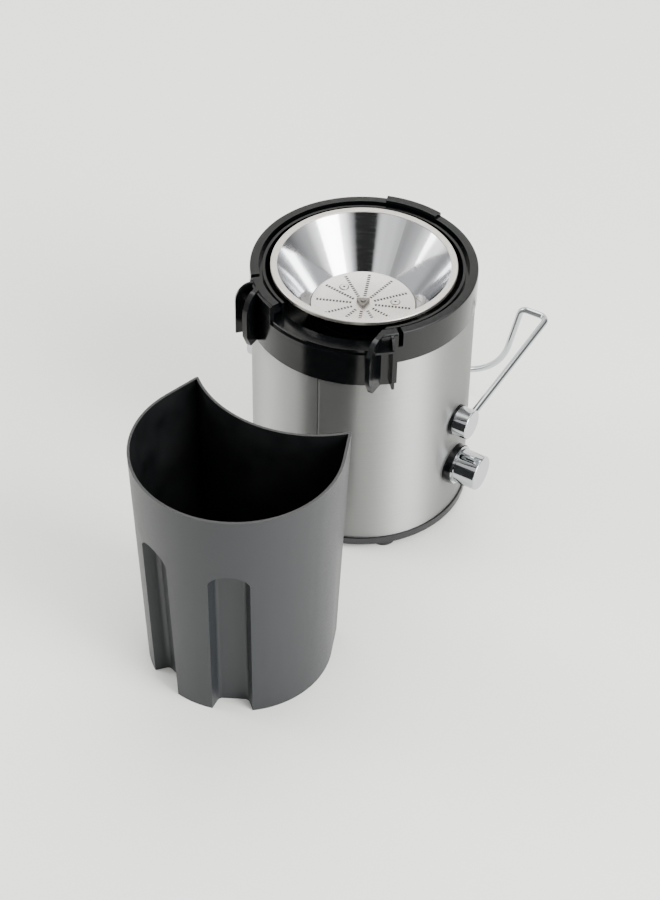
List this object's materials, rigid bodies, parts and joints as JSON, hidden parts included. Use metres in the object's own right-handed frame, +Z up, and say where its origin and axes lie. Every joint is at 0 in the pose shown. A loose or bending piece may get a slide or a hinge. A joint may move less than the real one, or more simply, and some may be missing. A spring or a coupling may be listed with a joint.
{
  "type": "centrifugal juicer",
  "caption": "Centrifugal juicer with a steel-sleeved motor housing, lift-off collector, spinning grater filter, wire locking bail and separate pulp bin.",
  "frame": {"origin": "where the body's axis meets the table", "axes": "+Z up along the body's axis, -Y to the control knob, +X to the juice spout, -X to the pulp bin"},
  "size_m": [0.4799, 0.2326, 0.242],
  "materials": {
    "brushed_sleeve": "circumferentially brushed stainless steel",
    "gloss_black": "polished moulded ABS",
    "base_black": "moulded polypropylene",
    "inner_plastic": "moulded, unseen inside",
    "chrome": "bright chrome plate",
    "foot_rubber": "moulded rubber",
    "polished_steel": "mirror-polished stainless steel",
    "disc_steel": "etched and brushed stainless steel",
    "lamination_steel": "stacked electrical steel",
    "motor_steel": "turned or pressed steel",
    "copper": "copper winding and bars",
    "bronze": "sintered bronze",
    "bracket_aluminium": "die-cast",
    "carbon": "carbon-graphite",
    "board_green": "solder mask on glass-epoxy",
    "coupling_white": "moulded acetal",
    "bin_grey": "satin moulded polypropylene"
  },
  "bodies": {
    "housing": {"feet": "foot_rubber", "base_plate": "base_black", "base_screws": "motor_steel", "body_shell": "brushed_sleeve", "motor_deck": "gloss_black", "shaft_seal": "foot_rubber", "stator_core": "lamination_steel", "field_coils": "copper", "motor_upper_bracket": "bracket_aluminium", "motor_lower_bracket": "bracket_aluminium", "bearing_upper": "motor_steel", "bearing_lower": "motor_steel", "stator_screws": "motor_steel", "mount_grommets": "foot_rubber", "mount_screws": "motor_steel", "brush_holders": "bronze", "carbon_brushes": "carbon", "control_bracket": "motor_steel", "bracket_screws": "motor_steel", "speed_switch": "inner_plastic", "switch_nut": "motor_steel", "knob_bezel": "gloss_black", "circuit_board": "board_green", "suppressor_capacitor": "inner_plastic", "cable_gland": "foot_rubber", "pivot_bushes": "gloss_black", "interlock_switch": "inner_plastic"},
    "motor_rotor": {"motor_shaft": "motor_steel", "armature_core": "lamination_steel", "armature_windings": "copper", "commutator": "copper", "cooling_fan": "inner_plastic", "drive_coupling": "coupling_white"},
    "juice_collector": {"juice_collector": "gloss_black"},
    "filter": {"filter_rim": "disc_steel", "filter_cone": "polished_steel", "grater_disc": "disc_steel", "filter_spindle": "disc_steel", "disc_rivets": "disc_steel", "filter_hub": "inner_plastic"},
    "bail": {"bail_wire": "chrome", "bail_cap_front": "chrome", "bail_cap_rear": "chrome", "pivot_pins": "motor_steel", "pivot_clips": "motor_steel", "interlock_cam": "coupling_white"},
    "speed_knob": {"speed_knob": "chrome", "switch_spindle": "motor_steel"},
    "pulp_bin": {"pulp_bin": "bin_grey"}
  },
  "joints": [
    {"name": "rotor_spin", "type": "hinge", "parent": "housing", "child": "motor_rotor", "pos_m": [0, 0, 0.1], "axis": [0, 0, 1], "continuous": true},
    {"name": "collector_lift", "type": "slide", "parent": "housing", "child": "juice_collector", "axis": [0, 0, 1], "range_m": [0, 0.15]},
    {"name": "filter_spin", "type": "hinge", "parent": "juice_collector", "child": "filter", "pos_m": [0, 0, 0.2], "axis": [0, 0, 1], "continuous": true},
    {"name": "bail_swing", "type": "hinge", "parent": "housing", "child": "bail", "pos_m": [0, 0, 0.11], "axis": [0, 1, 0], "range_deg": [-87, 0]},
    {"name": "knob_turn", "type": "hinge", "parent": "housing", "child": "speed_knob", "pos_m": [0, -0.11, 0.0597], "axis": [0, -1, 0], "range_deg": [-90, 45]},
    {"name": "bin_slide", "type": "slide", "parent": "housing", "child": "pulp_bin", "axis": [0.9869, 0.1616, 0], "range_m": [0, 0.083]}
  ],
  "couplings": [
    {"joint": "filter_spin", "follows": "rotor_spin", "ratio": 1}
  ]
}
